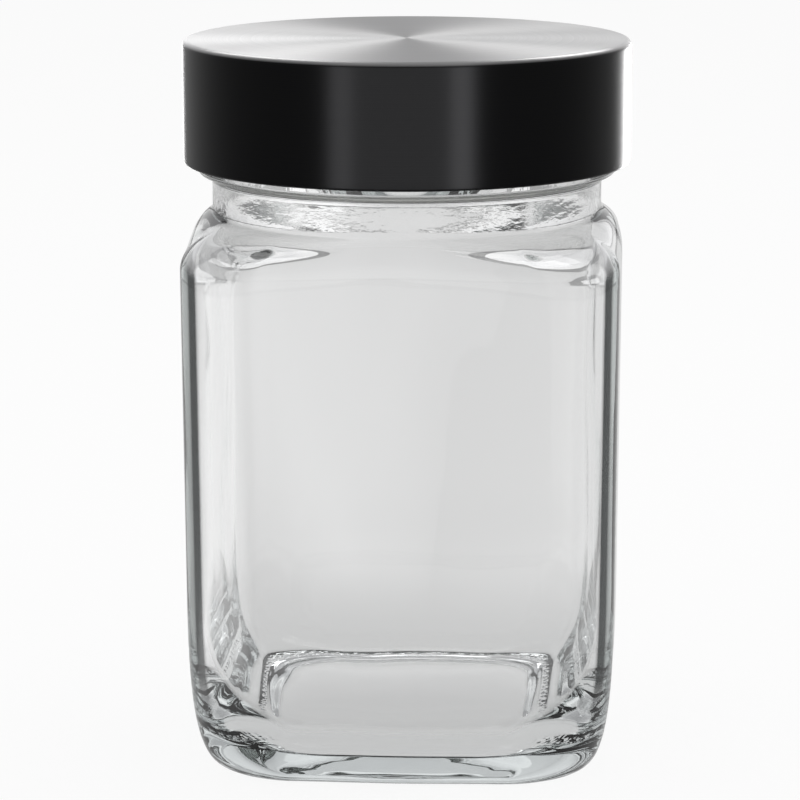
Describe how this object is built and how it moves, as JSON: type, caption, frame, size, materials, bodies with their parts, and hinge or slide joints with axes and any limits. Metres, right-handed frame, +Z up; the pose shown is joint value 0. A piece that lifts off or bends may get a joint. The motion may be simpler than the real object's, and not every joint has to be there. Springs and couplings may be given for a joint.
{
  "type": "storage jar",
  "caption": "Clear glass storage jar of rounded-square plan with a round neck and a brushed metal screw lid.",
  "frame": {"origin": "middle of the face that the jar stands on", "axes": "+Z up along the axis of the neck and the lid; X and Y square to the jar's flat sides, with -Y the side that faces the picture"},
  "size_m": [0.1, 0.1, 0.1605],
  "materials": {
    "glass": "clear pressed and blown glass with a faint green edge",
    "lid_metal": "sheet steel, spun-brushed on the top and dark brushed round the side",
    "lid_plastic": "off-white moulded plastic",
    "seal": "white soft foam sealing ring"
  },
  "bodies": {
    "jar": {"glass_jar": "glass"},
    "seal": {"lid_seal": "seal"},
    "lid": {"lid_shell": "lid_metal", "lid_insert": "lid_plastic"}
  },
  "joints": [
    {"name": "lid_rise", "type": "slide", "parent": "jar", "child": "seal", "axis": [0, 0, 1], "range_m": [0, 0.0301]},
    {"name": "lid_turn", "type": "hinge", "parent": "seal", "child": "lid", "pos_m": [0, 0, 0.15], "axis": [0, 0, 1], "range_deg": [0, 540]}
  ],
  "couplings": [
    {"joint": "lid_rise", "follows": "lid_turn", "m_per_rad": 0.0031831}
  ]
}
